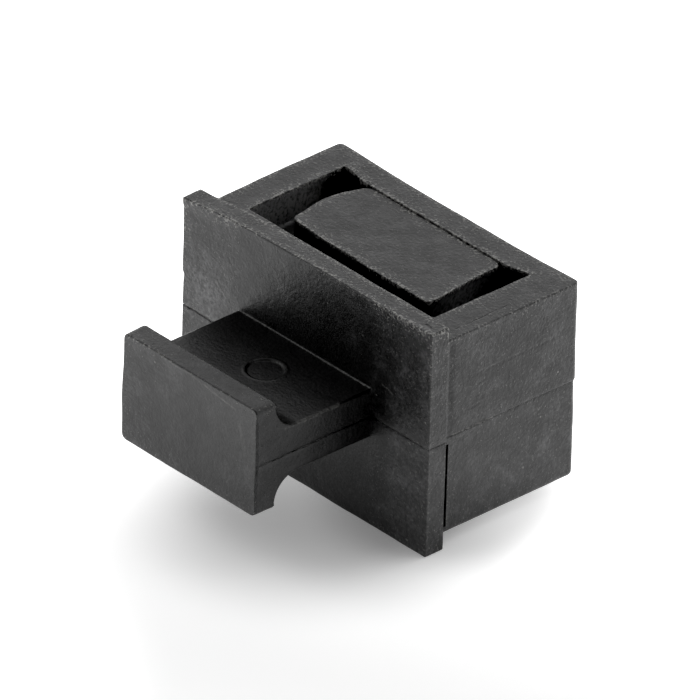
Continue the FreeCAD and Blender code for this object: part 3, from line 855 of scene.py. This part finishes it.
class SCENE_OT_plug_stage(bpy.types.Operator):
    """Lay the pale floor, light it softly and set the camera"""
    bl_idname = "scene.plug_stage"
    bl_label = "Stage"

    def execute(self, context):
        scene, stage = context.scene, context.scene.plug_stage
        scene.view_settings.view_transform = "Standard"
        scene.view_settings.use_curve_mapping = True
        scene.view_settings.curve_mapping.black_level = [stage.black_level] * 3
        add_floor(scene, stage)
        light_room(scene, stage)
        hang_softbox(scene, stage)
        set_camera(scene, stage)
        return {"FINISHED"}


FLOOR_REACH = 2.0  # the floor's edges lie this many metres away
BACK_GLOW_FROM, BACK_GLOW_TO = -16 * MM, 12 * MM  # between these the floor grows brighter to the back
SHADE_CORE = 3 * MM  # a shade on the floor is at its deepest within this radius
WALL_RISE = 0.1  # how much the white wall's middle is raised
WALL_EDGE, WALL_CORE = 0.1, 0.55  # cosines where the wall's light sets in and where it is full


def toward(azimuth, elevation=0.0):
    """Unit vector to a place at an azimuth, counted from +X toward +Y, and an elevation."""
    return Vector((math.cos(azimuth) * math.cos(elevation), math.sin(azimuth) * math.cos(elevation),
                   math.sin(elevation)))


def add_floor(scene, stage):
    """A wide white sheet under the plate's lower edge, lit from below as on a light table."""
    bm = bmesh.new()
    bmesh.ops.create_grid(bm, x_segments=1, y_segments=1, size=FLOOR_REACH)
    bmesh.ops.translate(bm, verts=bm.verts[:], vec=Vector((0, 0, LOW.z)))
    mesh = bpy.data.meshes.new("floor")
    bm.to_mesh(mesh)
    bm.free()
    floor = bpy.data.objects.new("floor", mesh)
    scene.collection.objects.link(floor)
    material = bpy.data.materials.new("opal_sheet")
    material.use_nodes = True
    tree = material.node_tree
    shader = tree.nodes["Principled BSDF"]
    shader.inputs["Base Color"].default_value = (*stage.floor_colour, 1)
    shader.inputs["Roughness"].default_value = 0.9
    shader.inputs["Emission Color"].default_value = (1, 1, 1, 1)
    place = add_node(tree, "TexCoord").outputs["Object"]
    depth = add_node(tree, "VectorMath", {0: place, 1: toward(stage.back_azimuth)},
                     operation="DOT_PRODUCT").outputs["Value"]
    glow = add_node(tree, "MapRange", {"Value": depth, "From Min": BACK_GLOW_FROM, "From Max": BACK_GLOW_TO,
                                       "To Min": stage.floor_glow,
                                       "To Max": stage.floor_glow + stage.back_glow},
                    interpolation_type="SMOOTHSTEP")
    for middle, radius, strength in ((stage.pool_place, stage.pool_radius, stage.pool_glow),
                                     (stage.side_place, stage.side_radius, stage.side_glow)):
        distance = add_node(tree, "VectorMath", {0: place, 1: middle}, operation="DISTANCE").outputs["Value"]
        pool = add_node(tree, "MapRange", {"Value": distance, "From Min": radius, "From Max": 0.0,
                                           "To Max": strength}, interpolation_type="SMOOTHSTEP")
        glow = add_node(tree, "Math", {0: glow, 1: pool}, operation="ADD")
    # These shades are shadows painted into the floor's glow under the neck and the insert.
    for middle, reach, dim in ((stage.foot_place, stage.foot_reach, stage.foot_shade),
                               (stage.block_place, stage.block_reach, stage.block_shade)):
        distance = add_node(tree, "VectorMath", {0: place, 1: middle}, operation="DISTANCE").outputs["Value"]
        shade = add_node(tree, "MapRange", {"Value": distance, "From Min": SHADE_CORE, "From Max": reach,
                                            "To Min": 1 - dim}, interpolation_type="SMOOTHSTEP")
        glow = add_node(tree, "Math", {0: glow, 1: shade}, operation="MULTIPLY")
    tree.links.new(glow.outputs[0], shader.inputs["Emission Strength"])
    mesh.materials.append(material)


def light_room(scene, stage):
    """A dim room with a white wall behind, which the tops of the plug mirror."""
    world = bpy.data.worlds.new("studio")
    world.use_nodes = True
    tree = world.node_tree
    background = tree.nodes["Background"]
    background.inputs["Color"].default_value = (1, 1, 1, 1)
    ray = add_node(tree, "TexCoord").outputs["Generated"]
    wall = (toward(stage.wall_azimuth) + Vector((0, 0, WALL_RISE))).normalized()
    facing = add_node(tree, "VectorMath", {0: ray, 1: wall}, operation="DOT_PRODUCT").outputs["Value"]
    light = add_node(tree, "MapRange", {"Value": facing, "From Min": WALL_EDGE, "From Max": WALL_CORE,
                                        "To Min": stage.room_light, "To Max": stage.wall_light},
                     interpolation_type="SMOOTHSTEP")
    tree.links.new(light.outputs[0], background.inputs["Strength"])
    scene.world = world


def hang_softbox(scene, stage):
    """A soft box at front left, which shines along the upper edges and in the creases."""
    light = bpy.data.lights.new("key_softbox", "AREA")
    light.shape = "RECTANGLE"
    light.size = stage.key_size
    light.size_y = stage.key_size
    light.energy = stage.key_light * math.pi * light.size * light.size_y
    back = toward(stage.key_azimuth, stage.key_elevation)
    softbox = bpy.data.objects.new("key_softbox", light)
    turn = back.to_track_quat("Z", "Y").to_matrix().to_4x4()
    softbox.matrix_world = Matrix.Translation(back * stage.key_distance) @ turn
    scene.collection.objects.link(softbox)


def set_camera(scene, stage):
    """A long lens that looks down on the plug from its front right."""
    azimuth, elevation = stage.azimuth, stage.elevation
    back = Vector((math.sin(azimuth) * math.cos(elevation), -math.cos(azimuth) * math.cos(elevation),
                   math.sin(elevation)))
    level = Vector((math.cos(azimuth), math.sin(azimuth), 0))
    turn = Matrix.Rotation(stage.roll, 3, back)
    right = turn @ level
    camera_data = bpy.data.cameras.new("camera")
    camera_data.sensor_width = 36
    camera_data.lens = stage.lens
    camera_data.clip_start = stage.distance / 10
    camera_data.clip_end = stage.distance * 10
    camera = bpy.data.objects.new("camera", camera_data)
    scene.collection.objects.link(camera)
    axes = Matrix((right, back.cross(right), back)).transposed().to_4x4()
    camera.matrix_world = Matrix.Translation(Vector(stage.aim) + back * stage.distance) @ axes
    scene.camera = camera


class VIEW3D_PT_dust_plug(bpy.types.Panel):
    """The plug's sizes, its stage and the operators that make them"""
    bl_label = "Dust Plug"
    bl_space_type = "VIEW_3D"
    bl_region_type = "UI"
    bl_category = "Dust Plug"

    def draw(self, context):
        scene = context.scene
        for settings in (scene.plug_shape, scene.plug_finish, scene.plug_stage):
            box = self.layout.box()
            for name in settings.__annotations__:
                box.prop(settings, name)
        for operator in (SCENE_OT_plug_stage, OBJECT_OT_moulded_plug):
            self.layout.operator(operator.bl_idname)


SETTINGS = {"plug_shape": PlugShape, "plug_finish": PlugFinish, "plug_stage": PlugStage}
CLASSES = (*SETTINGS.values(), OBJECT_OT_moulded_plug, SCENE_OT_plug_stage, VIEW3D_PT_dust_plug)


def register():
    """Add the classes and their settings."""
    for item in CLASSES:
        bpy.utils.register_class(item)
    for name, settings in SETTINGS.items():
        setattr(bpy.types.Scene, name, bpy.props.PointerProperty(type=settings))


def unregister():
    """Take the classes and their settings away."""
    for name in SETTINGS:
        delattr(bpy.types.Scene, name)
    for item in reversed(CLASSES):
        bpy.utils.unregister_class(item)


def main():
    """Make everything."""
    register()
    bpy.ops.scene.plug_stage()
    bpy.ops.object.moulded_plug()


if __name__ == "__main__":
    main()
